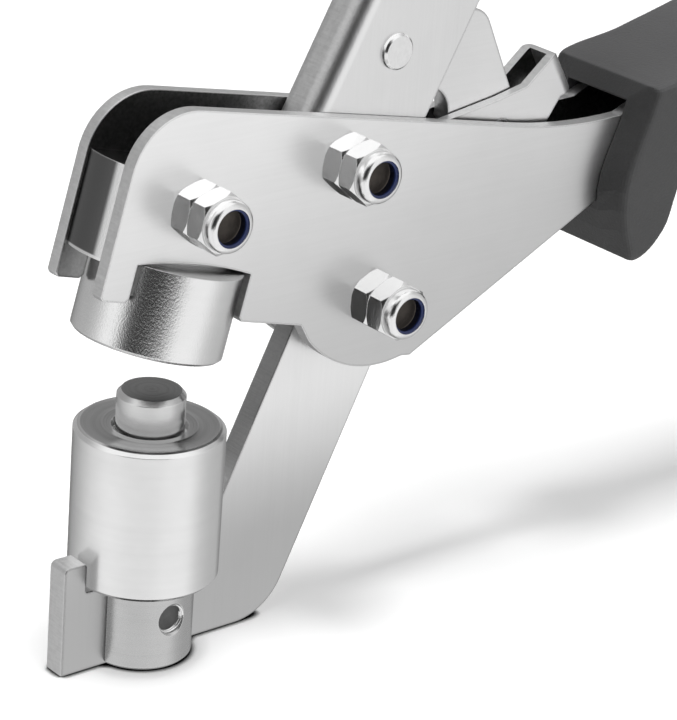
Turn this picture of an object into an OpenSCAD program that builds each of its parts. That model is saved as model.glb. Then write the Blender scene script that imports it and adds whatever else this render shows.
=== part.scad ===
// Hand-held grommet setter for 10 mm grommets.
// The jaw stands on its foot at z = 0 and carries the lower die, whose axis is the Z axis.
// The head (side plates, upper die, handle) turns about the jaw bolt, the lever about the lever bolt.
// Head, lever, link and yoke are drawn with the dies parallel and then swung open about the jaw bolt.
// X runs from the dies to the handle, Y across the plates (the nuts are at -Y), Z is up.

/* [Dies] */
// Diameter of both dies
die_d = 20.9; // [20.1:0.1:21.1]
// Height of the lower die above the jaw plate
lower_die_h = 21.9; // [20:0.1:23]
// Diameter of the sprung centre pin
pin_d = 9.5; // [8:0.5:10]
// Height of the pin above the face of the lower die
pin_out = 5.2; // [4:0.1:5.4]
// Height of the upper die below the notch in the plates
upper_die_h = 12; // [10:0.5:12.5]
// Gap between the faces of the closed dies
closed_gap = 4; // [3:0.5:6]
// Diameter of the slotted neck below the lower die
neck_d = 14.6; // [13:0.1:15]

/* [Jaw] */
// Thickness of the jaw plate
jaw_t = 3.5; // [3:0.1:3.6]
// Height of the foot, where the lower die sits
foot_h = 12; // [11:0.5:13]
// Front end of the foot
foot_front = -14.4; // [-15.6:0.1:-14.4]
// Length of the upright tab at the front of the foot
tab_w = 3.7; // [3:0.1:3.7]
// Height of the upright tab
tab_h = 16.4; // [14:0.2:18]
// Width of the jaw's arm
arm_w = 17.4; // [15:0.2:18]
// Angle of the arm from upright
arm_lean = 25.2; // [24:0.1:26]
// Radius of the heel between foot and arm
heel_r = 8.8; // [6:0.2:12]

/* [Head] */
// Distance from the dies to the jaw bolt
jaw_bolt_x = 33; // [32:0.5:34]
// Height of the jaw bolt
jaw_bolt_z = 48; // [47:0.5:49]
// Angle by which the head stands open at rest
open_angle = 14.4; // [10:0.2:14.4]
// Thickness of one side plate
plate_t = 2; // [1.5:0.1:2.5]
// Gap between the side plates
plate_gap = 8; // [8:0.1:8.4]
// Distance from the dies' axis to the front edges of the plates
head_front = 14.5; // [14:0.1:15]
// Radius of the upper front corner of the plates
head_corner_r = 9.4; // [4:0.2:10]

/* [Fasteners] */
// Diameter of the three bolts
bolt_d = 5; // [4:0.5:5]
// Width of the nuts across their flats
nut_af = 7.6; // [7.4:0.1:8]
// Height of the inner hex nuts
hex_nut_h = 3.4; // [2.7:0.1:4]
// Height of the lock nuts with their collars
lock_nut_h = 4.8; // [4.4:0.1:5.5]

/* [Lever] */
// Width of the lever channel over its sides
lever_w = 7.6; // [7:0.1:7.7]
// Depth of the lever channel
lever_depth = 19.8; // [18:0.1:20]
// Thickness of the lever's sheet
lever_sheet = 1.5; // [1.2:0.1:1.6]
// Angle of the lever from upright when the dies are parallel
lever_lean = 13.3; // [12:0.1:14]
// Thickness of the link plate
link_t = 3; // [2.5:0.1:3.2]
// Thickness of the yoke's sheet
yoke_sheet = 1.4; // [1:0.1:1.5]

/* [Handles] */
// Length of the side plates inside the handle grip
handle_tang = 78; // [60:1:84]
// Half width of the handle grip at its guard
grip_half_w = 11; // [10:0.2:12]
// Length of the lever channel above its bolt
lever_len = 128; // [110:1:132]

/* [Hidden] */

$fn = 72;
fit = 0.05;                                   // radial clearance of running fits
slip = 0.02;                                  // clearance of clamped parts
washer_play = 0.08;                           // side play of the moving sheets at their washers

// Places in the X-Z plane, drawn with the dies parallel
jaw_bolt = [jaw_bolt_x, jaw_bolt_z];
lever_bolt = jaw_bolt + [-11.9, 18.6];
link_rivet = jaw_bolt + [-5.9, 34.2];
link_pin = jaw_bolt + [18.8, 24.8];
yoke_rivet = jaw_bolt + [10, 12];
die_bolt = [-2.7, jaw_bolt_z + 10];
bolts = [die_bolt, lever_bolt, jaw_bolt];
nut_turn = [33, 33, 43];                      // how far each pair of nuts is turned

// Heights of the dies
lower_face_z = foot_h + lower_die_h;
upper_face_z = lower_face_z + closed_gap;
notch_z = upper_face_z + upper_die_h;

gap_y = plate_gap / 2;                        // inner faces of the side plates
plate_y = gap_y + plate_t;                    // outer faces of the side plates
sleeve_r = 3.1;                               // sleeves on the lever bolt and jaw bolt
pivot_pin_r = 2;                              // link rivet, link pin and yoke rivet
yoke_y = jaw_t / 2 + yoke_sheet;              // outer faces of the yoke
handle_rise = 30;                             // angle of the handle above the die faces

// Points of an arc about c, from angle a to angle b
function arc(c, r, a, b, n = 16) =
    [for (i = [0:n]) let (t = a + (b - a) * i / n) c + r * [cos(t), sin(t)]];

// Point at the distance d from p in the direction a
function along(p, a, d) = p + d * [cos(a), sin(a)];

// Extrudes an outline in the X-Z plane, centred on y, with the thickness t
module plate(y, t) {
    translate([0, y + t / 2, 0])
        rotate([90, 0, 0])
            linear_extrude(height = t)
                children();
}

// Round bar along Y at the place p, from y0 to y1
module bar_y(p, r, y0, y1, fn = 72) {
    translate([p[0], y1, p[1]])
        rotate([90, 0, 0])
            cylinder(r = r, h = y1 - y0, $fn = fn);
}

// Ring along Y at the place p
module ring_y(p, r_out, r_in, y0, y1) {
    difference() {
        bar_y(p, r_out, y0, y1);
        bar_y(p, r_in, y0 - 1, y1 + 1);
    }
}

// Swings the head and the lever gear open about the jaw bolt
module opened() {
    translate([jaw_bolt[0], 0, jaw_bolt[1]])
        rotate([0, open_angle, 0])
            translate([-jaw_bolt[0], 0, -jaw_bolt[1]])
                children();
}

// ---- Jaw ----

arm_dir = 90 - arm_lean;
arm_edge_x = 21.3;                            // where the arm's rear edge meets z = 0

// Outline of the foot, the arm and the tail that holds the yoke
module jaw_outline() {
    heel_run = heel_r * tan(45 - arm_lean / 2);
    heel_c = [arm_edge_x - heel_run, heel_r];
    inner_foot = [arm_edge_x - arm_w / cos(arm_lean), 0];
    seat_x = die_d / 2 + 0.15;
    seat_top = (seat_x - inner_foot[0]) / tan(arm_lean);
    polygon(concat(
        [[foot_front, 0]],
        arc(heel_c, heel_r, -90, -arm_lean),
        arc(jaw_bolt, 9.8, -arm_lean, 40),
        arc(jaw_bolt, 7.55, 70, 180 - arm_lean),
        [[seat_x, seat_top], [seat_x, foot_h]],
        [[foot_front + tab_w, foot_h]],
        [[foot_front + tab_w, tab_h - 0.4]],
        [[foot_front + tab_w - 0.4, tab_h]],
        arc([foot_front + 0.9, tab_h - 0.9], 0.9, 90, 180, 6)
    ));
    opened_2d()
        hull() {
            translate(jaw_bolt)
                circle(r = 7.5, $fn = 32);
            translate(yoke_rivet)
                circle(r = 5, $fn = 32);
        }
}

// The same swing as opened(), for outlines
module opened_2d() {
    translate(jaw_bolt)
        rotate(-open_angle)
            translate(-jaw_bolt)
                children();
}

module jaw_plate() {
    color("silver")
        difference() {
            plate(0, jaw_t)
                jaw_outline();
            bar_y(jaw_bolt, sleeve_r + fit, -jaw_t, jaw_t);
            opened()
                bar_y(yoke_rivet, pivot_pin_r + slip, -jaw_t, jaw_t);
        }
}

flange_h = 2;                                 // flange at the foot of the centre pin
flange_r = 5.7;
flange_z = lower_face_z - 8.4;
bore_r = pin_d / 2 + fit;
spigot_h = 4;

module lower_die() {
    r = die_d / 2;
    color("gainsboro")
        rotate_extrude($fn = 96)
            polygon(concat(
                [[flange_r + slip, foot_h], [r - 0.6, foot_h], [r, foot_h + 0.6]],
                [[r, lower_face_z - 0.45], [r - 0.55, lower_face_z]],
                arc([8, lower_face_z + 5.75], 5.8, -75, -105, 8),
                [[bore_r + 0.5, lower_face_z], [bore_r + 0.4, lower_face_z - 1.2]],
                [[bore_r, lower_face_z - 1.6], [bore_r, flange_z + flange_h]],
                [[flange_r + fit, flange_z + flange_h], [flange_r + fit, foot_h + spigot_h]],
                [[flange_r + slip, foot_h + spigot_h]]
            ));
}

screw_z = 7.3;
screw_r = 2.1;
screw_sunk = 1.3;                             // depth of the screw below the neck's wall

module die_neck() {
    color("gainsboro")
        difference() {
            union() {
                translate([0, 0, 0.4])
                    cylinder(d = neck_d, h = foot_h - 0.4, $fn = 96);
                cylinder(d1 = neck_d - 0.8, d2 = neck_d, h = 0.4, $fn = 96);
                translate([0, 0, foot_h])
                    cylinder(r = flange_r, h = spigot_h, $fn = 96);
            }
            translate([-neck_d, -jaw_t / 2 - slip, -1])
                cube([3 * neck_d, jaw_t + 2 * slip, foot_h + 1 + slip]);
            bar_y([0, screw_z], screw_r + slip, -neck_d, -jaw_t / 2);
            translate([0, -neck_d / 2 - 0.1, screw_z])
                rotate([-90, 0, 0])
                    cylinder(r1 = screw_r + 0.45, r2 = screw_r, h = 0.45);
        }
}

module grub_screw() {
    color("dimgray")
        bar_y([0, screw_z], screw_r, screw_sunk - neck_d / 2, -jaw_t / 2 - slip);
}

module centre_pin() {
    r = pin_d / 2;
    top = lower_face_z + pin_out;
    color("gray")
        rotate_extrude($fn = 96)
            polygon([[0, flange_z], [flange_r - fit, flange_z],
                     [flange_r - fit, flange_z + flange_h - slip], [r, flange_z + flange_h - slip],
                     [r, top - 0.7], [r - 0.6, top], [0, top]]);
}

spring_r = 4.4;
wire_r = 0.45;
spring_turns = 5;
ring_steps = 8;
turn_steps = 18;
spring_z0 = foot_h + spigot_h + wire_r + slip;
spring_z1 = flange_z - wire_r - slip;

// Round wire wound into a coil, ring by ring
module pin_spring() {
    n = spring_turns * turn_steps;
    points = [for (i = [0:n], k = [0:ring_steps - 1])
        let (a = 360 * i / turn_steps, b = 360 * k / ring_steps, r = spring_r + wire_r * cos(b))
            [r * cos(a), r * sin(a), spring_z0 + (spring_z1 - spring_z0) * i / n + wire_r * sin(b)]];
    sides = [for (i = [0:n - 1], k = [0:ring_steps - 1])
        let (m = (k + 1) % ring_steps, p = i * ring_steps, q = p + ring_steps)
            [p + k, p + m, q + m, q + k]];
    ends = [[for (k = [ring_steps - 1:-1:0]) k], [for (k = [0:ring_steps - 1]) n * ring_steps + k]];
    color("slategray")
        polyhedron(points = points, faces = concat(sides, ends), convexity = 10);
}

// ---- Yoke, fixed to the jaw ----

bridge_top = [26.4, 35.2];                    // centre of the bridge's upper corner, from the jaw bolt
bridge_r = 1.9;
bridge_dir = 46;                              // angle of the bridge's outer face

// Side outline of the yoke, from the jaw bolt up to the bridge
module yoke_outline() {
    b = jaw_bolt;
    polygon(concat(
        [b + [8, -1]],
        [b + [24, 18], b + [27.5, 27.1], b + [29, 31.2]],
        arc(b + [29.8, 32.9], 1.2, -35, bridge_dir, 6),
        arc(b + bridge_top, bridge_r, bridge_dir, 145, 8),
        [b + [21.7, 31.9], b + [17, 29.5], b + [6.4, 24.9]],
        [b + [5.5, 20], b + [0, 12], b + [-6.9, 4]],
        arc(b, 8, 150, 353, 20)
    ));
}

// Outline of the space inside the yoke, below its bridge
module yoke_inside() {
    b = jaw_bolt;
    polygon([b + [-20, -20], b + [-20, 60], b + [19, 60], b + [23.6, 38.4], b + [29.7, 32.3], b + [25, 20],
             b + [25, -20]]);
}

// Block with the two rounded edges where the yoke's sheet bends into its bridge
module yoke_bend() {
    reach = 60;
    r = 2.2;
    b = along(jaw_bolt + bridge_top, bridge_dir, bridge_r);
    translate([b[0], 0, b[1]])
        rotate([0, -bridge_dir, 0]) {
            translate([-reach, -yoke_y, -reach])
                cube([reach - r, 2 * yoke_y, 2 * reach]);
            translate([-reach, r - yoke_y, -reach])
                cube([reach, 2 * (yoke_y - r), 2 * reach]);
            for (s = [-1, 1])
                translate([-r, s * (yoke_y - r), -reach])
                    cylinder(r = r, h = 2 * reach);
        }
}

module yoke() {
    color("lightgray")
        difference() {
            opened()
                intersection() {
                    plate(0, 2 * yoke_y)
                        yoke_outline();
                    yoke_bend();
                }
            opened()
                plate(0, jaw_t)
                    yoke_inside();
            bar_y(jaw_bolt, sleeve_r + fit, -10, 10);
            opened()
                bar_y(yoke_rivet, pivot_pin_r + slip, -10, 10);
            opened()
                bar_y(link_pin, pivot_pin_r + slip, -10, 10);
        }
}

// Rivet along Y with low heads
module rivet_y(p, r, half, head_h, head_r) {
    translate([p[0], 0, p[1]])
        rotate([90, 0, 0])
            rotate_extrude()
                polygon([[0, -half - head_h], [head_r - 0.3, -half - head_h],
                         [head_r, -half - head_h + 0.3], [head_r, -half - slip],
                         [r, -half - slip], [r, half + slip], [head_r, half + slip],
                         [head_r, half + head_h - 0.3], [head_r - 0.3, half + head_h], [0, half + head_h]]);
}

module yoke_rivet() {
    color("gray")
        opened()
            rivet_y(yoke_rivet, pivot_pin_r, yoke_y, 0.6, 3);
}

module link_pin() {
    color("gray")
        opened()
            bar_y(link_pin, pivot_pin_r, -yoke_y, yoke_y);
}

// ---- Head ----

tail_top = [72.7, 78.3];                      // top edge where the plates enter the grip
tail_low = [72, 64.8];                        // bottom edge just inside the grip
tang_top = [80, 84];                          // start of the straight tang inside the grip
low_corner = jaw_bolt + [10.4, -8.1];         // bottom edge just behind the lobe
tang_w = 10;
tang_corner_r = 3;
top_slope = 3.4;

// Outline of a side plate: prong, notch, lobe, handle tang
module side_plate_outline() {
    slope_end = 17;
    rise_r = 88;
    rise_start = tail_top - rise_r * [sin(slope_end) - sin(top_slope), cos(top_slope) - cos(slope_end)];
    tang_end = along(tang_top, handle_rise, handle_tang - tang_corner_r);
    corner_c = [-head_front + head_corner_r, notch_z + 21.3 - head_corner_r];
    b = jaw_bolt;
    notch_half = die_d / 2 - 0.65;
    prong_z = notch_z - 5.2;
    notch_rise = 0.8;
    arch_r = (notch_half * notch_half + notch_rise * notch_rise) / (2 * notch_rise);
    arch_half = asin(notch_half / arch_r);
    polygon(concat(
        [[-head_front + 0.5, prong_z], [-head_front, prong_z + 0.5]],
        arc(corner_c, head_corner_r, 180, 90 + top_slope),
        arc(along(rise_start, 90 + top_slope, rise_r), rise_r, top_slope - 90, slope_end - 90),
        [tang_top],
        arc(along(tang_end, handle_rise - 90, tang_corner_r), tang_corner_r,
            handle_rise + 90, handle_rise, 6),
        arc(along(tang_end, handle_rise - 90, tang_w - tang_corner_r), tang_corner_r,
            handle_rise, handle_rise - 90, 6),
        [along(tang_top, handle_rise - 90, tang_w), tail_low],
        [low_corner],
        arc(b + [0.7, 7.6], 17.8, -63, -125),
        [[21.3, notch_z - 6.7], [notch_half + 0.6, notch_z - 6.7], [notch_half, notch_z - 6.1]],
        arc([0, notch_z + notch_rise - arch_r], arch_r, 90 - arch_half, 90 + arch_half, 12),
        [[-notch_half, prong_z + 0.6], [-notch_half - 0.6, prong_z]]
    ));
}

// Places of the two rivets in the handle tang
handle_axis = along(tang_top, handle_rise - 90, tang_w / 2);
handle_holes = [along(handle_axis, handle_rise, 14), along(handle_axis, handle_rise, 62)];

// Side plate on the side s of the tool, -1 near and 1 far
module side_plate(s) {
    color("whitesmoke")
        opened()
            difference() {
                plate(s * (gap_y + plate_t / 2), plate_t)
                    side_plate_outline();
                for (p = bolts)
                    bar_y(p, bolt_d / 2 + slip, -20, 20);
                for (p = handle_holes)
                    bar_y(p, pivot_pin_r + slip, -20, 20);
            }
}

module side_plate_near() {
    side_plate(-1);
}

module side_plate_far() {
    side_plate(1);
}

recess_r = 6;
magnet_h = 3;
recess_h = 4;
tang_r = 14.6;                                // half width of the die's flat tang
tang_h = 12.5;                                // height of the tang above the notch

module upper_die() {
    r = die_d / 2;
    tang_y = gap_y - slip;
    color("gainsboro")
        opened()
            difference() {
                union() {
                    translate([0, 0, upper_face_z])
                        cylinder(r1 = r - 0.4, r2 = r, h = 0.4, $fn = 96);
                    translate([0, 0, upper_face_z + 0.4])
                        cylinder(r = r, h = upper_die_h - 0.4 - slip, $fn = 96);
                    intersection() {
                        translate([0, 0, notch_z - 0.5])
                            cylinder(r = tang_r, h = tang_h + 0.5, $fn = 96);
                        translate([-20, -tang_y, 0])
                            cube([40, 2 * tang_y, 100]);
                    }
                }
                translate([0, 0, upper_face_z - 1])
                    cylinder(r = recess_r, h = 1 + recess_h + magnet_h);
                bar_y(die_bolt, bolt_d / 2 + slip, -20, 20);
            }
}

module holding_magnet() {
    color("darkgray")
        opened()
            translate([0, 0, upper_face_z + recess_h])
                cylinder(r = recess_r - slip, h = magnet_h - slip);
}

bolt_sunk = 1.8;                              // depth of a bolt's end inside its lock nut
bolt_head_h = 3.5;

// Bolt i along Y with a chamfered hex head on the far side
module bolt(i) {
    color("silver")
        opened() {
            bar_y(bolts[i], bolt_d / 2, bolt_sunk - plate_y - hex_nut_h - lock_nut_h, plate_y + slip);
            nut_blank(i, plate_y + slip, bolt_head_h);
        }
}

// Hexagon of bolt i along Y, whose corners are turned off at both ends
module nut_blank(i, y0, h) {
    corner = nut_af / cos(30) / 2;
    translate([bolts[i][0], y0, bolts[i][1]])
        rotate([-90, 0, 0])
            intersection() {
                rotate([0, 0, -nut_turn[i]])
                    cylinder(r = corner, h = h, $fn = 6);
                rotate_extrude()
                    polygon([[0, 0], [corner - 0.5, 0], [corner + 0.05, 0.5],
                             [corner + 0.05, h - 0.5], [corner - 0.5, h], [0, h]]);
            }
}

module die_bolt() {
    bolt(0);
}

module lever_bolt() {
    bolt(1);
}

module jaw_bolt() {
    bolt(2);
}

module hex_nuts() {
    color("gainsboro")
        opened()
            for (i = [0:2])
                difference() {
                    nut_blank(i, -plate_y - hex_nut_h, hex_nut_h - slip);
                    bar_y(bolts[i], bolt_d / 2 + slip, -20, 0);
                }
}

collar_r = 3.6;
ring_r = 3;
lip_r = 2.65;                                 // opening in the lip over the locking ring
lip_h = 0.35;
collar_h = 1.7;                               // height of the round collar above the hexagon

module lock_nuts() {
    y1 = -plate_y - hex_nut_h - slip;
    hex_h = lock_nut_h - collar_h;
    y0 = y1 - lock_nut_h + slip;
    color("gainsboro")
        opened()
            for (i = [0:2])
                difference() {
                    union() {
                        nut_blank(i, y1 - hex_h, hex_h);
                        translate([bolts[i][0], y0, bolts[i][1]])
                            rotate([-90, 0, 0])
                                rotate_extrude()
                                    polygon(concat([[0, 0]], arc([collar_r - 0.9, 0.9], 0.9, -90, 0, 8),
                                                   [[collar_r, collar_h + 0.1], [0, collar_h + 0.1]]));
                    }
                    bar_y(bolts[i], bolt_d / 2 + slip, -20, 0);
                    bar_y(bolts[i], lip_r, -20, y0 + lip_h + 0.01);
                    bar_y(bolts[i], ring_r, y0 + lip_h, y0 + 1.6);
                }
}

module lock_rings() {
    y0 = -plate_y - hex_nut_h - lock_nut_h;
    color("royalblue")
        opened()
            for (p = bolts)
                ring_y(p, ring_r - slip, 2.35, y0 + lip_h + slip, y0 + 1.58);
}

module lever_sleeve() {
    color("gray")
        opened()
            ring_y(lever_bolt, sleeve_r, bolt_d / 2 + slip, -gap_y + slip, gap_y - slip);
}

module jaw_sleeve() {
    color("gray")
        ring_y(jaw_bolt, sleeve_r, bolt_d / 2 + slip, -gap_y + slip, gap_y - slip);
}

// Two washers along Y at the place p, between the distances y0 and y1 from the middle
module washer_pair(p, r_out, r_in, y0, y1) {
    ring_y(p, r_out, r_in, -y1, -y0);
    ring_y(p, r_out, r_in, y0, y1);
}

// Thin washers that centre the yoke between the side plates
module jaw_washers() {
    color("silver")
        washer_pair(jaw_bolt, 6, sleeve_r + slip, yoke_y + washer_play, gap_y - slip);
}

module handle_spacers() {
    color("gray")
        opened()
            for (p = handle_holes)
                ring_y(p, 4, pivot_pin_r + slip, -gap_y + slip, gap_y - slip);
}

module handle_rivets() {
    color("gray")
        opened()
            for (p = handle_holes)
                bar_y(p, pivot_pin_r, -plate_y, plate_y);
}

// ---- Grips ----

// Half of a rounded box section as [height from -1 to 1, half width], from its top to its bottom
function half_ring(q, w, r) =
    concat([[1, 0], [1, (w - r) / 2]],
           [for (i = [0:4]) [1 - q + q * cos(22.5 * i), w - r + r * sin(22.5 * i)]],
           [for (i = [1:7]) [(1 - q) * (1 - i / 4), w]],
           [for (i = [4:8]) [q - 1 + q * cos(22.5 * i), w - r + r * sin(22.5 * i)]],
           [[-1, (w - r) / 2], [-1, 0]]);

// Points of one section
ring_n = 40;

// Section for a station: top point, bottom point, half width, corner radius, bow to the front
function grip_ring(s) =
    let (m = (s[0] + s[1]) / 2, h = (s[0] - s[1]) / 2, half = half_ring(s[3] / norm(h), s[2], s[3]),
         ring = concat(half, [for (i = [ring_n / 2 - 1:-1:1]) [half[i][0], -half[i][1]]]))
        [for (p = ring)
            let (fall = (1 - p[0]) / 2)
                [m[0] + h[0] * p[0] - s[4] * sin(180 * pow(fall, 1.4)), p[1], m[1] + h[1] * p[0]]];

// Value of a smooth curve through four values, between the middle two
function curve(a, b, c, d, t) =
    0.5 * (2 * b + (c - a) * t + (2 * a - 5 * b + 4 * c - d) * t * t + (3 * b - a - 3 * c + d) * t * t * t);

// Station at the place u along a list of stations
function station(list, u) =
    let (last = len(list) - 1, i = min(floor(u), last - 1), t = u - i,
         p = list[max(i - 1, 0)], q = list[i], r = list[i + 1], s = list[min(i + 2, last)])
        [for (j = [0:4]) curve(p[j], q[j], r[j], s[j], t)];

// Solid through the stations of front, joined by flat bands, and on through list, smoothly
module grip_body(list, front = [], steps = 3) {
    n = ring_n;
    all = concat(front, [for (i = [0:(len(list) - 1) * steps]) station(list, i / steps)]);
    rings = len(all) - 1;
    points = [for (s = all) each grip_ring(s)];
    sides = [for (i = [0:rings - 1], k = [0:n - 1])
        let (m = (k + 1) % n, p = i * n, q = p + n)
            each [[p + k, p + m, q + m], [p + k, q + m, q + k]]];
    mouth = [for (k = [1:n / 2 - 2]) [n - k, n - k - 1, k + 1, k]];
    ends = [[n - 1, 1, 0], [n / 2 + 1, n / 2, n / 2 - 1], [for (k = [0:n - 1]) rings * n + k]];
    polyhedron(points = points, faces = concat(sides, mouth, ends), convexity = 6);
}

// Stations of the handle grip: its mouth, then guard, neck, palm swell and end
guard_w = grip_half_w;
function palm(d, h, width, r = 6.5, drop = 0) =
    let (p = along([92, 95], handle_rise, d))
        [along(p, handle_rise - 90, drop), along(p, handle_rise - 90, h), width, r, 0];
handle_mouth = [
    [[72.6, 80.8], [77.9, 57.9], 6.3, 0.4, 3.9]
];
handle_stations = [
    [[73.5, 83.3], [78.2, 58], guard_w - 2, 0.8, 3.7],
    [[73.7, 83.6], [78.6, 57.7], guard_w - 0.9, 1, 3.6],
    [[74.4, 84], [79.4, 57.6], guard_w - 0.2, 1.2, 3.3],
    [[75.6, 84.7], [80.8, 58.3], guard_w, 1.3, 2.6],
    [[77.4, 85.6], [82.6, 60.3], guard_w + 0.1, 1.5, 1.6],
    [[79.4, 86.6], [84, 63.2], guard_w, 1.8, 0.8],
    [[81.4, 87.7], [84.2, 67.4], guard_w - 0.2, 2.2, 0.2],
    [[83.6, 89.2], [84.8, 71.4], guard_w - 0.5, 2.8, 0],
    [[86.4, 91.2], [89, 75.6], guard_w - 0.7, 3.4, 0],
    palm(0, 15.6, guard_w - 0.8, 4.6),
    palm(22, 18.6, guard_w - 0.2),
    palm(44, 18, guard_w - 0.4),
    palm(62, 16.6, guard_w - 0.8),
    palm(76, 17.6, guard_w - 0.6),
    palm(84, 14, 6.5, 5, 3.4)
];

module handle_grip() {
    color([0.22, 0.22, 0.23])
        opened()
            difference() {
                grip_body(handle_stations, handle_mouth);
                plate(0, 2 * plate_y + 0.2)
                    grip_slot_outline();
            }
}

// Pocket in the grip for the side plates, open at the mouth
module grip_slot_outline() {
    play = 0.15;
    far = along(tang_top, handle_rise, handle_tang + play);
    fall = low_corner - tail_low;
    polygon([tail_low + [0, -play] + fall * 0.4, [60, 76], tail_top + [-1, 1.9], tail_top + [4, 3.9],
             along(tang_top, 120, play), along(far, 120, play), along(far, handle_rise - 90, tang_w + play),
             along(tang_top, handle_rise - 90, tang_w + play), tail_low + [0, -play]]);
}

// ---- Lever ----

// Places a child drawn with the lever upright about the lever bolt
module on_lever() {
    opened()
        translate([lever_bolt[0], 0, lever_bolt[1]])
            rotate([0, lever_lean, 0])
                children();
}

web_x = -7;                                   // outer face of the channel's web
step_x = 4.5;                                 // how far the sides step back below the grip
bend_r = 2.8;                                 // outer radius of the channel's bends

// Side outline of the channel, with its lower end round the lever bolt
module channel_outline() {
    front = web_x;
    rear = web_x + lever_depth;
    polygon(concat(
        arc([0, 0], -web_x, 180, 300, 14),
        [[rear, 9], [rear, 36], [rear - step_x, 52], [rear - step_x, lever_len], [front, lever_len]]
    ));
}

rivet_local = [2.25, 16.56];                  // link rivet, seen from the lever bolt

module lever_channel() {
    inner = lever_w / 2 - lever_sheet;
    color("silver")
        on_lever()
            difference() {
                intersection() {
                    plate(0, lever_w)
                        channel_outline();
                    union() {
                        translate([web_x + bend_r, -lever_w / 2, -10])
                            cube([lever_depth, lever_w, lever_len + 20]);
                        translate([web_x, bend_r - lever_w / 2, -10])
                            cube([lever_depth, lever_w - 2 * bend_r, lever_len + 20]);
                        for (s = [-1, 1])
                            translate([web_x + bend_r, s * (lever_w / 2 - bend_r), -10])
                                cylinder(r = bend_r, h = lever_len + 20);
                    }
                }
                translate([web_x + lever_sheet, -inner, -20])
                    cube([lever_depth + 5, 2 * inner, lever_len + 40]);
                bar_y([0, 0], sleeve_r + fit, -10, 10);
                bar_y(rivet_local, pivot_pin_r + slip, -10, 10);
            }
}

module link_rivet() {
    color("silver")
        on_lever()
            rivet_y(rivet_local, pivot_pin_r, lever_w / 2, 0.8, 2.55);
}

// Stations of the lever grip, with the lever upright
lever_stations = [
    [[-9.4, 48], [14.6, 49], 6.2, 3, 0],
    [[-10.2, 50], [15.4, 52], 7.4, 4, 0],
    [[-9.8, 60], [12.6, 61], 7.4, 5, 0],
    [[-10.6, 78], [13.2, 78], 8.2, 5.6, 0],
    [[-10, 100], [12, 100], 7.8, 5.4, 0],
    [[-9.4, 118], [11, 118], 7.4, 5, 0],
    [[-10.2, 131], [11.4, 131], 7.8, 5, 0],
    [[-7.6, 137], [8.6, 137], 5, 3, 0]
];

module lever_grip() {
    play = 0.05;
    rear = web_x + lever_depth - step_x + play;
    color([0.22, 0.22, 0.23])
        on_lever()
            difference() {
                grip_body(lever_stations);
                plate(0, lever_w + 2 * play)
                    polygon([[web_x - play, 0], [rear + step_x, 0], [rear + step_x, 36], [rear, 52.2],
                             [rear, lever_len + play], [web_x - play, lever_len + play]]);
            }
}

// ---- Link ----

open_pivot_play = 0.3;                        // radial clearance at the link pin

module link_outline() {
    b = jaw_bolt;
    polygon(concat(
        arc(link_rivet, 5, 98, 285, 20),
        arc(b + [5.3, 25.2], 4.15, 90, 0, 12),
        arc(link_pin, 5.2, 215, 400, 20),
        arc(b + [9.4, 37.2], 4.2, 40, 98, 8)
    ));
}

module link_plate() {
    color("lightgray")
        opened()
            difference() {
                plate(0, link_t)
                    link_outline();
                bar_y(link_rivet, pivot_pin_r + fit, -10, 10);
                bar_y(link_pin, pivot_pin_r + open_pivot_play, -10, 10);
            }
}

// Washers on the link rivet, between the link and the channel's sides
module link_washers() {
    inner = lever_w / 2 - lever_sheet;
    color("silver")
        opened()
            washer_pair(link_rivet, 3.6, pivot_pin_r + fit, link_t / 2 + washer_play, inner - washer_play);
}

jaw_plate();
lower_die();
die_neck();
grub_screw();
centre_pin();
pin_spring();
yoke();
yoke_rivet();
link_pin();
jaw_sleeve();
jaw_washers();
side_plate_near();
side_plate_far();
upper_die();
holding_magnet();
die_bolt();
lever_bolt();
jaw_bolt();
hex_nuts();
lock_nuts();
lock_rings();
lever_sleeve();
handle_spacers();
handle_rivets();
handle_grip();
lever_channel();
link_rivet();
lever_grip();
link_plate();
link_washers();
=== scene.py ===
"""Grommet setter: looks, rounded edges, the thread in the neck, floor, camera and light round the frame."""

import math

import bmesh
import bpy
from mathutils import Matrix, Vector


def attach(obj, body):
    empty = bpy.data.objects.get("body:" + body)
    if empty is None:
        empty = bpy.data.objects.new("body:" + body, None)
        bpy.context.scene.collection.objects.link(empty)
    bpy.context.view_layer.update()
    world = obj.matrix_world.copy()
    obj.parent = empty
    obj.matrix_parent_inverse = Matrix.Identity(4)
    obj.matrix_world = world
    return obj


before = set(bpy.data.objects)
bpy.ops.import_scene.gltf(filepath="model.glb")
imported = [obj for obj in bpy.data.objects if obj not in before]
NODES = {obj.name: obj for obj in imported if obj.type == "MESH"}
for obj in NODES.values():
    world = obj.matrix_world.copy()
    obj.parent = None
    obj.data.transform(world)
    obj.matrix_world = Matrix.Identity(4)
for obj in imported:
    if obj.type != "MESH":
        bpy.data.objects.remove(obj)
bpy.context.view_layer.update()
MM = 0.001
WHITE = (1.0, 1.0, 1.0, 1.0)
NEUTRAL = (1.0, 1.0, 1.0)
MIRRORED_TONE = 0.1     # of pieces with a painted glow in mirrors, as the mirrors see them
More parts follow.
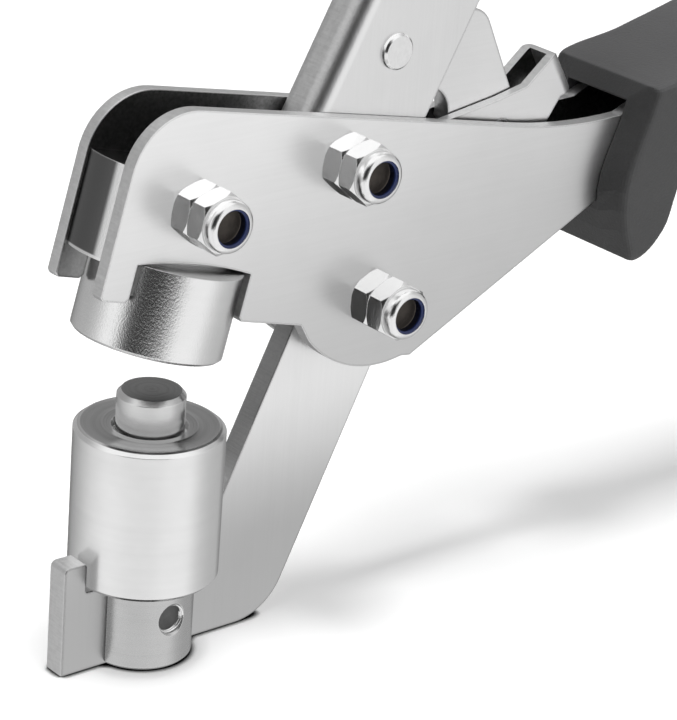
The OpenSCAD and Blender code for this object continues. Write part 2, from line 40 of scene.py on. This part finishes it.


# ---------------------------------------------------------------- node trees
class Tree:
    """The node tree of a material or world, with short calls for the nodes used here."""

    def __init__(self, owner):
        owner.use_nodes = True
        self.tree = owner.node_tree
        self.tree.nodes.clear()

    def add(self, kind, props=None, **inputs):
        """A new node. An input is named by its label, or by its place as i0, i1 and so on."""
        node = self.tree.nodes.new(kind)
        for key, value in (props or {}).items():
            setattr(node, key, value)
        for key, value in inputs.items():
            self.plug(node, key, value)
        return node

    def plug(self, node, key, value):
        by_place = key[0] == "i" and key[1:].isdigit()
        socket = node.inputs[int(key[1:])] if by_place else node.inputs[key.replace("_", " ")]
        if isinstance(value, bpy.types.NodeSocket):
            self.tree.links.new(value, socket)
        else:
            socket.default_value = value

    def math(self, operation, a, b=0.0, clamp=False):
        settings = {"operation": operation, "use_clamp": clamp}
        return self.add("ShaderNodeMath", settings, i0=a, i1=b).outputs[0]

    def plus(self, first, *others):
        for other in others:
            first = self.math("ADD", first, other)
        return first

    def times(self, first, *others):
        for other in others:
            first = self.math("MULTIPLY", first, other)
        return first

    def minus(self, a, b):
        return self.math("SUBTRACT", a, b)

    def magnitude(self, value):
        return self.math("ABSOLUTE", value)

    def mix(self, factor, a, b):
        return self.plus(a, self.times(factor, self.minus(b, a)))

    def remap(self, value, low, high, to_low=0.0, to_high=1.0):
        """A smooth step: to_low where the value is low, to_high where it is high."""
        settings = {"interpolation_type": "SMOOTHSTEP"}
        node = self.add("ShaderNodeMapRange", settings, i0=value, i1=low, i2=high, i3=to_low, i4=to_high)
        return node.outputs[0]

    def vector(self, x, y, z):
        return self.add("ShaderNodeCombineXYZ", None, X=x, Y=y, Z=z).outputs[0]

    def split(self, vector):
        return self.add("ShaderNodeSeparateXYZ", None, i0=vector).outputs

    def dot(self, a, b):
        node = self.add("ShaderNodeVectorMath", {"operation": "DOT_PRODUCT"}, i0=a, i1=b)
        return node.outputs["Value"]

    def scaled(self, vector, factors):
        return self.add("ShaderNodeVectorMath", {"operation": "MULTIPLY"}, i0=vector, i1=factors).outputs[0]

    def output(self, kind, shader):
        node = self.add(kind)
        self.tree.links.new(shader.outputs[0], node.inputs[0])


class Finish(Tree):
    """A material. Its patterns lie in the piece's own coordinates, so they move with the piece."""

    def __init__(self, name):
        self.material = bpy.data.materials.new(name)
        super().__init__(self.material)
        self.coords = self.add("ShaderNodeTexCoord").outputs["Object"]
        self.normal = self.add("ShaderNodeNewGeometry").outputs["Normal"]

    def noise(self, per_metre, detail, roughness, source=None):
        """Noise from 0 to 1 with so many waves to the metre, alike along all axes or per axis."""
        factors = per_metre if isinstance(per_metre, tuple) else (per_metre,) * 3
        place = self.scaled(source or self.coords, factors)
        node = self.add("ShaderNodeTexNoise", {"noise_dimensions": "3D"},
                        Vector=place, Scale=1.0, Detail=detail, Roughness=roughness)
        return node.outputs[0]

    def grey(self, value, tint=NEUTRAL):
        return self.scaled(self.vector(value, value, value), tint)

    def softened(self, radius):
        """The normal, rounded over edges."""
        return self.add("ShaderNodeBevel", {"samples": 6}, Radius=radius).outputs[0]

    def edges(self, radius, gain=6.0):
        """Above 0 within the radius of an edge, 0 on open faces."""
        away = self.minus(1.0, self.dot(self.softened(radius), self.normal))
        return self.math("MULTIPLY", away, gain, clamp=True)

    def bump(self, height, distance, strength=1.0, normal=None):
        node = self.add("ShaderNodeBump", None, Strength=strength, Distance=distance, Height=height)
        if normal is not None:
            self.plug(node, "Normal", normal)
        return node.outputs[0]

    def surface(self, base, metallic, rough, normal, **extra):
        shader = self.add("ShaderNodeBsdfPrincipled", None, Base_Color=base, Metallic=metallic,
                          Roughness=rough, Normal=normal, **extra)
        self.output("ShaderNodeOutputMaterial", shader)
        return self.material

    def metal(self, value, rough, normal, mirrored=0.0):
        """Plain metal, which other pieces mirror as a painted, even glow where mirrored is above 0."""
        if not mirrored:
            return self.surface(self.grey(value), 1.0, rough, normal)
        # painted glow: seen from other pieces, the metal takes a dark base and glows evenly
        seen = self.add("ShaderNodeLightPath").outputs["Is Camera Ray"]
        base = self.grey(self.mix(seen, MIRRORED_TONE, value))
        glow = self.mix(seen, mirrored, 0.0)
        return self.surface(base, 1.0, rough, normal, Emission_Color=WHITE, Emission_Strength=glow)


# ---------------------------------------------------------------- plated sheet
# waves to the metre along x, y and z, for sheet that is brushed along X or Z
BRUSH = {"X": (60.0, 900.0, 2600.0), "Z": (2600.0, 900.0, 60.0)}
FINE_BRUSH = {"X": (160.0, 1500.0, 9000.0), "Z": (9000.0, 1500.0, 160.0)}
SHEAR_STRIPES = (3200.0, 260.0, 3200.0)
SHEAR_CRUMBLE = (1500.0, 1800.0, 1500.0)
# share of Y in the normal, on the faces and on the sheared edges
FACE_NORMAL = 0.75
SHEARED_NORMAL = 0.55
SHEARED_TONE = 0.44
DARK_EDGE_SHARE = 0.5
# painted shade on the inner faces of the sheet, lighter from one height to the other
GAP_SHADE_DARK_ABOVE = 65 * MM
GAP_SHADE_LIGHT_BELOW = 58 * MM
GAP_SHADE_TONES = (0.09, 0.42)
# painted highlight along the edges, with a painted dark line just inside them where the sheet rolls over
EDGE_HIGHLIGHT_TONE = 0.88
ROLL_RISE = (0.004, 0.02)
ROLL_FALL = (0.1, 0.05)


def plate_material(name, brushed, tone=0.80, inside=None, fade=None, dark_edge=None, mirrored=0.0):
    """Bright sheet in the XZ plane: brushed, cloudy faces and striped sheared edges.

    inside     faces nearer to the middle plane than this are darkened by painted shade
    fade       two points (x, z) between which painted shade darkens the faces, and the share left at the second
    dark_edge  two heights between which the sheared edges darken
    """
    t = Finish(name)
    _, y, z = t.split(t.coords)
    sheared = t.remap(t.magnitude(t.split(t.normal)[1]), FACE_NORMAL, SHEARED_NORMAL)
    face = t.minus(1.0, sheared)
    brush = t.noise(BRUSH[brushed], 4.0, 0.6)
    fine = t.noise(FINE_BRUSH[brushed], 2.0, 0.5)
    cloud = t.noise(75.0, 3.0, 0.55)
    pits = t.noise(2400.0, 2.0, 0.6)
    stripes = t.noise(SHEAR_STRIPES, 3.0, 0.6)
    crumble = t.noise(SHEAR_CRUMBLE, 3.0, 0.65)

    face_tone = t.plus(tone - 0.08, t.times(brush, 0.0675), t.times(cloud, 0.1125))
    edge_tone = t.plus(SHEARED_TONE, t.times(t.plus(stripes, crumble), 0.19))
    if dark_edge is not None:
        edge_tone = t.times(edge_tone, t.remap(z, *dark_edge, 1.0, DARK_EDGE_SHARE))
    # painted shade across the faces
    if fade is not None:
        face_tone = t.times(face_tone, painted_shade_share(t, *fade))
    value = t.mix(sheared, face_tone, edge_tone)
    # painted shade on the faces between the plates, over real pits
    if inside is not None:
        within = t.remap(t.magnitude(y), inside + 0.1 * MM, inside)
        gap_shade = t.remap(z, GAP_SHADE_DARK_ABOVE, GAP_SHADE_LIGHT_BELOW, *GAP_SHADE_TONES)
        value = t.mix(t.times(within, face), value, t.plus(gap_shade, t.times(pits, 0.26)))
    # painted highlight on the edges, then the painted dark line of the rollover
    edge_wear_and_highlight = t.edges(0.25 * MM)
    value = t.mix(t.times(edge_wear_and_highlight, 0.5), value, EDGE_HIGHLIGHT_TONE)
    rim = t.edges(0.45 * MM, 1.0)
    rollover_shade = t.times(t.remap(rim, *ROLL_RISE), t.remap(rim, *ROLL_FALL))
    value = t.times(value, t.minus(1.0, t.times(rollover_shade, face, 0.5)))

    face_rough = t.plus(0.24, t.times(t.plus(brush, cloud), 0.07))
    edge_rough = t.plus(0.36, t.times(crumble, 0.16))
    face_height = t.plus(t.times(brush, 0.6), t.times(fine, 0.35), t.times(pits, 0.5))
    edge_height = t.plus(t.times(stripes, 3.0), t.times(crumble, 2.2))
    height = t.mix(sheared, face_height, edge_height)
    normal = t.bump(height, 0.012 * MM, normal=t.softened(0.14 * MM))
    return t.metal(value, t.mix(sheared, face_rough, edge_rough), normal, mirrored)


def painted_shade_share(t, start, end, share_left):
    """Painted shade: 1 at the start point (x, z), falling to the share left at the end point."""
    run_x, run_z = end[0] - start[0], end[1] - start[1]
    span = run_x * run_x + run_z * run_z
    along = t.dot(t.coords, (run_x / span, 0.0, run_z / span))
    at_start = (start[0] * run_x + start[1] * run_z) / span
    return t.remap(t.minus(along, at_start), 0.0, 1.0, 1.0, share_left)


# ---------------------------------------------------------------- turned steel
JAW_BOLT_X = 33 * MM
JAW_BOLT_Z = 48 * MM
OPEN_ANGLE = math.radians(14.4)
# the upper die's tang starts here in the closed tool; its near side has painted light and the part behind
# it painted shade
TANG_FOOT = 49.9 * MM
TANG_LIT_TO = -2.9 * MM
TANG_DARK_FROM = -2.0 * MM
FINE_RINGS = (4200.0, 1.0, 4200.0)
BROAD_RINGS = (1100.0, 1.0, 1100.0)
PEBBLES = 4600.0
TILTED_PEBBLES = (5200.0, 5200.0, 2600.0)
TANG_TONES = (0.75, 0.13)
# share of Z in the normal, from sloping to flat
FLAT_NORMAL = (0.9, 0.98)
# painted reflection: walls seen at a glance are darkened, as if they reflected the dark sides of the studio
GLANCE = (0.72, 0.97)
GLANCE_SHARE = 0.5


def turned_material(name, tone, rough_low, speckle, ring_depth=0.2, flat_shade_tone=0.5, tilted=False):
    """Plated turned steel: rings round the dies' axis on walls and flats, and pebbled plating.

    tilted  the piece hangs from the open head, so its axis stands at the open angle
    """
    t = Finish(name)
    x, y, z = t.split(t.coords)
    if tilted:
        x, z = closed_place(t, x, z)
    radius = t.math("SQRT", t.plus(t.times(x, x), t.times(y, y)))
    profile = t.vector(radius, 0.0, z)
    rings = t.noise(FINE_RINGS, 3.0, 0.65, profile)
    bands = t.noise(BROAD_RINGS, 2.0, 0.5, profile)
    grain = t.noise(TILTED_PEBBLES if tilted else PEBBLES, 2.0, 0.7)
    cloud = t.noise(150.0, 3.0, 0.55)
    flat = t.remap(t.magnitude(t.split(t.normal)[2]), *FLAT_NORMAL)

    value = t.plus(tone - 0.08, t.times(t.plus(bands, t.times(cloud, 2.0)), 0.055))
    # painted shade on faces that point up, with the real turning rings
    flat_rings_and_shade = t.plus(flat_shade_tone - 0.15, t.times(rings, 0.3))
    value = t.times(value, t.mix(flat, 1.0, flat_rings_and_shade))
    if tilted:
        # painted light on the tang's near side, painted shade behind it
        in_tang = t.remap(z, TANG_FOOT - 0.2 * MM, TANG_FOOT)
        value = t.mix(in_tang, value, t.remap(y, TANG_LIT_TO, TANG_DARK_FROM, *TANG_TONES))
    # edges lighter: painted highlight on edges and chamfers, with wear
    edge_wear_and_highlight = t.edges(0.3 * MM)
    value = t.mix(t.times(edge_wear_and_highlight, 0.55), value, 0.9)
    # painted reflection, darker at a glance
    glancing = t.add("ShaderNodeLayerWeight").outputs["Facing"]
    value = t.times(value, t.remap(glancing, *GLANCE, 1.0, GLANCE_SHARE))

    rough = t.plus(rough_low, t.times(t.plus(grain, rings), 0.07))
    height = t.plus(t.times(rings, t.mix(flat, ring_depth, 1.6)), t.times(grain, speckle))
    return t.metal(value, rough, t.bump(height, 0.01 * MM, normal=t.softened(0.16 * MM)))


def closed_place(t, x, z):
    """Where a point of the open head lies when the tool is closed."""
    cos, sin = math.cos(OPEN_ANGLE), math.sin(OPEN_ANGLE)
    off_x, off_z = t.minus(x, JAW_BOLT_X), t.minus(z, JAW_BOLT_Z)
    closed_x = t.plus(t.minus(t.times(off_x, cos), t.times(off_z, sin)), JAW_BOLT_X)
    closed_z = t.plus(t.times(off_x, sin), t.times(off_z, cos), JAW_BOLT_Z)
    return closed_x, closed_z


# ---------------------------------------------------------------- fasteners, nylon and grips
SCRATCHES = (900.0, 5200.0, 900.0)
BROWNISH = (1.0, 0.86, 0.74)
NYLON_BLUE = (0.010, 0.022, 0.10)
GRIP_BLACK = (1.0, 1.0, 1.02)
GRIP_DIMPLES = (2100.0, 2100.0, 2100.0)
# painted shade: the locking rings show their full colour in front and darken inside the nuts
RING_FRONT = -13.75 * MM
RING_SHADE_FROM = -13.45 * MM
RING_SHADE_SHARE = 0.12
# a bolt is dark up to the middle plane and plated beyond this
HEAD_FROM = 2 * MM
# painted shade and light: grips darken where they face the dies, by the normal's X, and lighten where they
# face up, by its Z
GRIP_TONE = 0.034
GRIP_SHADE_TO_DIES = (-0.35, -0.9)
GRIP_SHADE_TO_DIES_SHARE = 0.36
GRIP_LIGHT_UP = (0.3, 0.85)
GRIP_LIGHT_UP_GAIN = 1.8


def fastener_material(name, tone=0.83, rough_low=0.1, mirrored=0.0):
    """Bright zinc on small parts: crisp facets with faint scratches."""
    t = Finish(name)
    scratch = t.noise(SCRATCHES, 3.0, 0.6)
    cloud = t.noise(520.0, 3.0, 0.5)
    mottle = t.times(t.plus(scratch, cloud), 0.08)
    # edges lighter: painted highlight on the facets' edges, with wear
    edge_wear_and_highlight = t.edges(0.18 * MM)
    value = t.mix(t.times(edge_wear_and_highlight, 0.6), t.plus(tone - 0.07, mottle), 0.93)
    height = t.plus(scratch, t.times(cloud, 0.8))
    normal = t.bump(height, 0.03 * MM, normal=t.softened(0.12 * MM))
    return t.metal(value, t.plus(rough_low, mottle), normal, mirrored)


def dark_steel_material(name, dark=0.035, tint=BROWNISH, bright_head=False):
    """Dark threaded steel with lighter crests; a bolt's head, beyond the plates, is plated."""
    t = Finish(name)
    grain = t.noise(2600.0, 3.0, 0.6)
    cloud = t.noise(700.0, 2.0, 0.5)
    edge_wear_and_highlight = t.edges(0.15 * MM)
    value = t.mix(edge_wear_and_highlight, t.plus(dark, t.times(cloud, 0.06)), 0.2)
    rough = t.plus(0.4, t.times(grain, 0.25))
    metallic = 0.6
    if bright_head:
        head = t.remap(t.split(t.coords)[1], 0.0, HEAD_FROM)
        value = t.mix(head, value, t.plus(0.7, t.times(cloud, 0.12)))
        rough = t.mix(head, rough, 0.2)
        metallic = t.mix(head, metallic, 1.0)
        tint = t.vector(*(t.mix(head, part, 1.0) for part in tint))
    return t.surface(t.grey(value, tint), metallic, rough, t.bump(grain, 0.02 * MM))


def nylon_material(name):
    """Blue locking ring, with painted shade inside the nut."""
    t = Finish(name)
    grain = t.noise(1800.0, 2.0, 0.6)
    recess_shade = t.remap(t.split(t.coords)[1], RING_FRONT, RING_SHADE_FROM, 1.0, RING_SHADE_SHARE)
    value = t.times(t.plus(0.75, t.times(grain, 0.5)), recess_shade)
    rough = t.plus(0.32, t.times(grain, 0.2))
    return t.surface(t.grey(value, NYLON_BLUE), 0.0, rough, t.bump(grain, 0.02 * MM))


def grip_material(name):
    """Black moulded grip with a fine texture, painted shade towards the dies and painted light on top."""
    t = Finish(name)
    leather = t.noise(3300.0, 2.0, 0.55)
    dimple = t.add("ShaderNodeTexVoronoi", {"feature": "F1"},
                   Vector=t.scaled(t.coords, GRIP_DIMPLES), Scale=1.0).outputs[0]
    cloud = t.noise(60.0, 3.0, 0.5)
    # edges lighter: wear, with a painted highlight on the rim
    edge_wear_and_highlight = t.edges(0.8 * MM, 3.0)
    toward_handle, _, up = t.split(t.normal)
    value = t.plus(GRIP_TONE, t.times(cloud, 0.014))
    # painted shade on faces towards the dies, painted light on faces that point up
    value = t.times(value, t.remap(toward_handle, *GRIP_SHADE_TO_DIES, 1.0, GRIP_SHADE_TO_DIES_SHARE))
    value = t.times(value, t.remap(up, *GRIP_LIGHT_UP, 1.0, GRIP_LIGHT_UP_GAIN))
    value = t.plus(value, t.times(leather, 0.016), t.times(edge_wear_and_highlight, 0.012))
    rough = t.plus(0.46, t.times(leather, 0.16))
    normal = t.bump(t.plus(leather, t.times(dimple, 0.6)), 0.05 * MM, 0.9)
    return t.surface(t.grey(value, GRIP_BLACK), 0.0, rough, normal, Specular_IOR_Level=0.55)


# ---------------------------------------------------------------- looks of the CAD nodes
# the plates of the head stand 4 mm either side of the middle plane, the yoke's sides 1.85 mm
# painted shade: the head's plates darken downwards, the jaw plate towards its foot
HEAD_PAINTED_SHADE = ((0.0, 85 * MM), (12 * MM, 30 * MM), 0.68)
JAW_PAINTED_SHADE = ((30 * MM, 36 * MM), (30 * MM, 12 * MM), 0.56)
JAW_DARK_EDGE = (20 * MM, 27 * MM)

plate_link = plate_material("plated_sheet_long", "X")
plate_head = plate_material("plated_sheet_head", "X", tone=0.92, inside=4 * MM, fade=HEAD_PAINTED_SHADE)
plate_yoke = plate_material("plated_sheet_yoke", "X", inside=1.85 * MM)
plate_lever = plate_material("plated_sheet_tall", "Z")
plate_jaw = plate_material("plated_sheet_jaw", "Z", tone=0.88, fade=JAW_PAINTED_SHADE, dark_edge=JAW_DARK_EDGE,
                           mirrored=0.35)
turned_lower = turned_material("turned_lower", tone=0.80, rough_low=0.17, speckle=0.45, flat_shade_tone=0.42)
# the neck's lower tone is painted shade, as it stands by the floor
turned_neck = turned_material("turned_neck", tone=0.54, rough_low=0.2, speckle=0.8)
turned_upper = turned_material("turned_upper", tone=0.82, rough_low=0.09, speckle=2.6, ring_depth=0.05,
                               tilted=True)
turned_pin = turned_material("turned_pin", tone=0.64, rough_low=0.15, speckle=0.5, flat_shade_tone=0.3)
spring_wire = fastener_material("spring_wire", tone=0.5, rough_low=0.3)
bright_zinc = fastener_material("bright_zinc", mirrored=0.5)
plain_zinc = fastener_material("zinc_bolt", tone=0.7, rough_low=0.2)
bolt_steel = dark_steel_material("bolt_steel", bright_head=True)
screw_face = dark_steel_material("screw_face", dark=0.08, tint=NEUTRAL)
magnet_plate = fastener_material("magnet_plate", tone=0.7, rough_low=0.12)
blue_nylon = nylon_material("blue_nylon")
black_grip = grip_material("black_grip")

# which nodes each material goes on
WEARERS = [
    (plate_jaw, ["jaw_plate"]),
    (plate_head, ["side_plate_near", "side_plate_far"]),
    (plate_yoke, ["yoke"]),
    (plate_link, ["link_plate"]),
    (plate_lever, ["lever_channel"]),
    (turned_lower, ["lower_die"]),
    (turned_neck, ["die_neck"]),
    (turned_upper, ["upper_die"]),
    (turned_pin, ["centre_pin"]),
    (spring_wire, ["pin_spring"]),
    (bright_zinc, ["hex_nuts", "lock_nuts", "link_rivet"]),
    (bolt_steel, ["die_bolt", "lever_bolt", "jaw_bolt"]),
    (plain_zinc, ["jaw_sleeve", "jaw_washers", "lever_sleeve", "link_washers", "link_pin", "yoke_rivet",
                  "handle_spacers", "handle_rivets"]),
    (screw_face, ["grub_screw"]),
    (magnet_plate, ["holding_magnet"]),
    (blue_nylon, ["lock_rings"]),
    (black_grip, ["handle_grip", "lever_grip"]),
]
for material, names in WEARERS:
    for name in names:
        worn_by = NODES[name].data.materials
        worn_by.clear()
        worn_by.append(material)

# ---------------------------------------------------------------- rounded edges of the sheet parts
EDGE_WIDTHS = {
    "side_plate_near": 0.42 * MM,
    "side_plate_far": 0.3 * MM,
    "jaw_plate": 0.22 * MM,
    "yoke": 0.15 * MM,
    "link_plate": 0.2 * MM,
    "lever_channel": 0.14 * MM,
}
SAME_POINT = 0.001 * MM
SAME_FACE = math.radians(0.5)
SHARP_EDGE = math.radians(40)


def round_edges(node, width):
    """Joins the faces of each plane, then rounds the sharp edges between the planes."""
    stack = NODES[node].modifiers
    weld = stack.new("weld", "WELD")
    weld.merge_threshold = SAME_POINT
    flat = stack.new("flat", "DECIMATE")
    flat.decimate_type = "DISSOLVE"
    flat.angle_limit = SAME_FACE
    bevel = stack.new("bevel", "BEVEL")
    bevel.width = width
    bevel.segments = 2
    bevel.limit_method = "ANGLE"
    bevel.angle_limit = SHARP_EDGE
    bevel.miter_outer = "MITER_ARC"
    even = stack.new("even", "WEIGHTED_NORMAL")
    even.keep_sharp = False


for node, width in EDGE_WIDTHS.items():
    round_edges(node, width)

# ---------------------------------------------------------------- thread in the neck's screw hole
HOLE_Z = 7.3 * MM
WALL_RADIUS = 2.13 * MM
CREST_RADIUS = 1.9 * MM
THREAD_MOUTH = -6.85 * MM
THREAD_END = -6.12 * MM
PITCH = 0.36 * MM
RIDGE_HALF = 0.45 * PITCH
STEPS_PER_TURN = 40


def thread_piece():
    """A ridge wound inside the hole in front of the grub screw."""
    build = bmesh.new()
    sections = []
    for i in range(round((THREAD_END - THREAD_MOUTH) / PITCH * STEPS_PER_TURN) + 1):
        angle = 2 * math.pi * i / STEPS_PER_TURN
        y = THREAD_MOUTH + PITCH * i / STEPS_PER_TURN
        ridge = ((WALL_RADIUS, y - RIDGE_HALF), (CREST_RADIUS, y), (WALL_RADIUS, y + RIDGE_HALF))
        sections.append([
            build.verts.new((radius * math.cos(angle), place, HOLE_Z + radius * math.sin(angle)))
            for radius, place in ridge
        ])
    for a, b in zip(sections, sections[1:]):
        for k in range(3):
            m = (k + 1) % 3
            build.faces.new((a[k], a[m], b[m], b[k]))
    build.faces.new(sections[0])
    build.faces.new(sections[-1][::-1])
    bmesh.ops.recalc_face_normals(build, faces=build.faces)
    mesh = bpy.data.meshes.new("screw_thread")
    build.to_mesh(mesh)
    build.free()
    mesh.materials.append(bright_zinc)
    piece = bpy.data.objects.new("screw_thread", mesh)
    bpy.context.scene.collection.objects.link(piece)
    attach(piece, "jaw")


thread_piece()

# ---------------------------------------------------------------- floor
FLOOR_HALF = 3.0
FLOOR_TONE = 0.84
FLOOR_GLOW = 0.27
CONTACT_REACH = 1.6 * MM
CONTACT_SHADOW_RAMP = (0.5, 0.88)  # painted contact shadow: share of open air over the paper, from black contact to full white


def floor_material():
    """Pale paper with a painted contact shadow, black in the narrow gap under a piece."""
    t = Finish("floor_paper")
    value = t.plus(FLOOR_TONE, t.times(t.noise(18.0, 2.0, 0.5), 0.03))
    # painted contact shadow from ambient occlusion
    near = t.add("ShaderNodeAmbientOcclusion", {"samples": 12}, Distance=CONTACT_REACH).outputs["AO"]
    contact_shadow_factor = t.remap(near, *CONTACT_SHADOW_RAMP)
    diffuse = t.add("ShaderNodeBsdfDiffuse", None, Color=t.grey(t.times(value, contact_shadow_factor)))
    glow = t.add("ShaderNodeEmission", None, Color=WHITE, Strength=t.times(contact_shadow_factor, FLOOR_GLOW))
    both = t.add("ShaderNodeAddShader", None, i0=diffuse.outputs[0], i1=glow.outputs[0])
    t.output("ShaderNodeOutputMaterial", both)
    return t.material


def floor_piece():
    corners = [(-1, -1), (1, -1), (1, 1), (-1, 1)]
    mesh = bpy.data.meshes.new("floor")
    mesh.from_pydata([(FLOOR_HALF * x, FLOOR_HALF * y, 0.0) for x, y in corners], [], [(0, 1, 2, 3)])
    mesh.materials.append(floor_material())
    floor = bpy.data.objects.new("floor", mesh)
    bpy.context.scene.collection.objects.link(floor)
    floor.visible_glossy = False


floor_piece()

# ---------------------------------------------------------------- camera
CAMERA_PLACE = Vector((-0.2298, -0.2965, 0.2017))
CAMERA_AZIMUTH = math.radians(41.56)
CAMERA_DOWN = math.radians(22.66)
CAMERA_ROLL = math.radians(4.47)
CAMERA_LENS = 151.55
SENSOR_WIDTH = 36.0


def set_camera():
    """Looks along the azimuth, measured from +Y towards +X, and down, rolled about its own axis."""
    level = Vector((math.cos(CAMERA_AZIMUTH), -math.sin(CAMERA_AZIMUTH), 0.0))
    onward = Vector((math.sin(CAMERA_AZIMUTH), math.cos(CAMERA_AZIMUTH), 0.0))
    ahead = onward * math.cos(CAMERA_DOWN) - Vector((0.0, 0.0, math.sin(CAMERA_DOWN)))
    upward = level.cross(ahead)
    right = level * math.cos(CAMERA_ROLL) + upward * math.sin(CAMERA_ROLL)
    up = upward * math.cos(CAMERA_ROLL) - level * math.sin(CAMERA_ROLL)
    data = bpy.data.cameras.new("camera")
    data.lens = CAMERA_LENS
    data.sensor_width = SENSOR_WIDTH
    data.clip_start = 0.01
    data.clip_end = 20.0
    camera = bpy.data.objects.new("camera", data)
    bpy.context.scene.collection.objects.link(camera)
    turned = Matrix((right, up, -ahead)).transposed().to_4x4()
    camera.matrix_world = Matrix.Translation(CAMERA_PLACE) @ turned
    bpy.context.scene.camera = camera


set_camera()

# ---------------------------------------------------------------- light
# brightness round the studio for polished pieces, by degrees from the camera, positive to its right
BELOW = [
    (-180, 0.26), (-145, 0.30), (-110, 0.62), (-85, 0.82), (-52, 1.02), (-20, 0.92), (25, 0.92),
    (52, 1.22), (75, 0.98), (95, 0.66), (120, 0.56), (165, 0.48), (180, 0.36),
]
ABOVE = [
    (-180, 0.5), (-130, 0.42), (-98, 0.46), (-78, 0.62), (-62, 1.1), (-48, 1.9), (-41, 0.3), (-28, 0.02),
    (22, 0.02), (35, 0.2), (44, 1.25), (65, 1.1), (100, 0.6), (140, 0.5), (180, 0.5),
]
OVERHEAD = 1.15
FOR_MATT = 0.35
# heights between which one gives way to the next, as shares of the way up from level
BELOW_TO_ABOVE = (-0.15, -0.06)
ABOVE_TO_OVERHEAD = (0.42, 0.62)
SECOND_BELOW_TO_ABOVE = (-0.05, 0.15)
SECOND_BOUNCE = (1.2, 1.8)
# what a second reflection sees below and above, which keeps the gaps between pieces dark
SECOND_BELOW = 0.03
SECOND_ABOVE = 1.5


def ring(t, place, stops):
    """Brightness by the place round the studio, from 0 to 1, through the stops in degrees."""
    node = t.add("ShaderNodeValToRGB", None, Fac=place)
    ramp = node.color_ramp
    ramp.interpolation = "B_SPLINE"
    while len(ramp.elements) < len(stops):
        ramp.elements.new(0.5)
    for element, (degrees, brightness) in zip(ramp.elements, stops):
        element.position = (degrees + 180) / 360
        element.color = (brightness, brightness, brightness, 1.0)
    return t.split(node.outputs[0])[0]


def studio_world():
    """White for the camera, even for matt surfaces, and light and dark panels for polished ones."""
    world = bpy.data.worlds.new("studio")
    bpy.context.scene.world = world
    t = Tree(world)
    x, y, z = t.split(t.add("ShaderNodeTexCoord").outputs["Generated"])
    sin, cos = math.sin(CAMERA_AZIMUTH), math.cos(CAMERA_AZIMUTH)
    toward_camera = t.plus(t.times(x, -sin), t.times(y, -cos))
    aside = t.plus(t.times(x, cos), t.times(y, -sin))
    turn = t.math("DIVIDE", t.math("ARCTAN2", aside, toward_camera), math.pi)
    place = t.times(t.plus(turn, 1.0), 0.5)
    rise = t.math("DIVIDE", t.math("ARCSINE", z), math.pi / 2)

    upper = t.mix(t.remap(rise, *ABOVE_TO_OVERHEAD), ring(t, place, ABOVE), OVERHEAD)
    first = t.mix(t.remap(rise, *BELOW_TO_ABOVE), ring(t, place, BELOW), upper)
    second = t.mix(t.remap(rise, *SECOND_BELOW_TO_ABOVE), SECOND_BELOW, SECOND_ABOVE)
    path = t.add("ShaderNodeLightPath").outputs
    polished = t.mix(t.remap(path["Glossy Depth"], *SECOND_BOUNCE), first, second)
    unseen = t.mix(path["Is Glossy Ray"], FOR_MATT, polished)
    strength = t.mix(path["Is Camera Ray"], unseen, 1.0)
    t.output("ShaderNodeOutputWorld", t.add("ShaderNodeBackground", None, Color=WHITE, Strength=strength))


def area_light(name, place, target, side, watts):
    """A square panel that lights the scene and isn't mirrored."""
    data = bpy.data.lights.new(name, "AREA")
    data.shape = "RECTANGLE"
    data.size = side
    data.size_y = side
    data.energy = watts
    light = bpy.data.objects.new(name, data)
    bpy.context.scene.collection.objects.link(light)
    light.location = place
    light.rotation_mode = "QUATERNION"
    light.rotation_quaternion = (Vector(target) - Vector(place)).to_track_quat("-Z", "Y")
    light.visible_glossy = False


studio_world()
area_light("overhead", (0.05, -0.04, 1.6), (0.05, -0.04, 0.0), side=0.45, watts=17.5)
area_light("left_panel", (-0.55, -0.1, 0.35), (0.0, 0.0, 0.06), side=0.4, watts=0.8)
area_light("front_panel", (0.1, -0.7, 0.4), (0.05, 0.0, 0.06), side=0.4, watts=0.8)
view = bpy.context.scene.view_settings
view.view_transform = "Standard"
view.look = "None"
